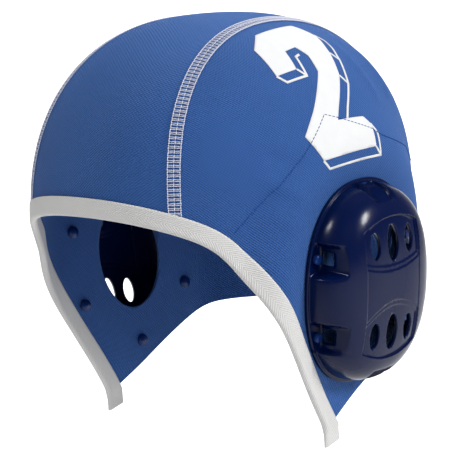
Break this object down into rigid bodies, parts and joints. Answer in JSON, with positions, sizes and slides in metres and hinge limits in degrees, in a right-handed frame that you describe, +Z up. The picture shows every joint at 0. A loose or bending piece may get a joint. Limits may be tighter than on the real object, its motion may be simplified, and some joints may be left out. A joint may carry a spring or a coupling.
{
  "type": "water polo cap",
  "caption": "Stretch cloth sports cap with cheek flaps, a folded binding tape with short tie ends, and hollow vented ear guards.",
  "frame": {"origin": "inside of the crown's highest point, where the cap sits on the head", "axes": "+Z up out of the crown, the face looks along -Y, the wearer's left is +X"},
  "size_m": [0.195, 0.1864, 0.1901],
  "materials": {
    "blue_cloth": "stretch knit with a fine diagonal rib, slight sheen",
    "white_tape": "white twill tape",
    "navy_plastic": "glossy moulded plastic",
    "blue_plastic": "glossy moulded pegs",
    "seam_thread": "white stitching thread",
    "print_ink": "matt white print on cloth"
  },
  "bodies": {
    "root": {"centre_panel": "blue_cloth", "side_panel_left": "blue_cloth", "side_panel_right": "blue_cloth", "binding_tape": "white_tape", "ear_guard_left": "navy_plastic", "ear_guard_right": "navy_plastic", "guard_peg_left_1": "blue_plastic", "guard_peg_left_2": "blue_plastic", "guard_peg_left_3": "blue_plastic", "guard_peg_left_4": "blue_plastic", "guard_peg_left_5": "blue_plastic", "guard_peg_left_6": "blue_plastic", "guard_peg_right_1": "blue_plastic", "guard_peg_right_2": "blue_plastic", "guard_peg_right_3": "blue_plastic", "guard_peg_right_4": "blue_plastic", "guard_peg_right_5": "blue_plastic", "guard_peg_right_6": "blue_plastic"}
  },
  "joints": []
}
